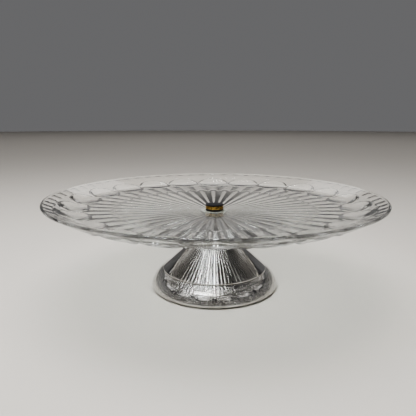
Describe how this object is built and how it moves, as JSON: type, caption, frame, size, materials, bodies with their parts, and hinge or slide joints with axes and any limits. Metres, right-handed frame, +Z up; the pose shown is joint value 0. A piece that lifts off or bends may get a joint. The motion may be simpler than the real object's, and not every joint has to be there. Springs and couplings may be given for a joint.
{
  "type": "pedestal cake stand",
  "caption": "Pedestal cake stand: a dished, pressed-glass plate with a cut pattern, held on a flared hollow chrome foot by a small brass and black screw cap.",
  "frame": {"origin": "on the stand's axis, on the surface that it stands on", "axes": "+Z up along the axis of the stand; the stand is round, so X and Y have no front"},
  "size_m": [0.2998, 0.2998, 0.0872],
  "materials": {
    "pressed_glass": "clear, fire polished",
    "chrome_plate": "polished, lightly worn",
    "polished_brass": "polished, a little tarnished",
    "black_plastic": "glossy black",
    "black_rubber": "matt",
    "zinc_steel": "bright zinc",
    "clear_plastic": "milky, slightly translucent"
  },
  "bodies": {
    "foot": {"foot_shell": "chrome_plate", "edging_ring": "black_rubber", "plate_seat": "chrome_plate", "plate_gasket": "clear_plastic", "centre_stud": "zinc_steel", "clamp_washer": "zinc_steel", "lock_washer": "zinc_steel", "hex_nut": "zinc_steel"},
    "plate": {"glass_plate": "pressed_glass", "centre_sleeve": "clear_plastic"},
    "cap_carrier": {"cap_washer": "black_rubber"},
    "cap": {"brass_collar": "polished_brass", "cap_button": "black_plastic"}
  },
  "joints": [
    {"name": "plate_turn", "type": "hinge", "parent": "foot", "child": "plate", "pos_m": [0, 0, 0.067], "axis": [0, 0, 1], "continuous": true},
    {"name": "cap_lift", "type": "slide", "parent": "foot", "child": "cap_carrier", "axis": [0, 0, 1], "range_m": [0, 0.0024]},
    {"name": "cap_unscrew", "type": "hinge", "parent": "cap_carrier", "child": "cap", "pos_m": [0, 0, 0.075], "axis": [0, 0, 1], "range_deg": [0, 1080]}
  ],
  "couplings": [
    {"joint": "cap_lift", "follows": "cap_unscrew", "m_per_rad": 0.00012732}
  ]
}
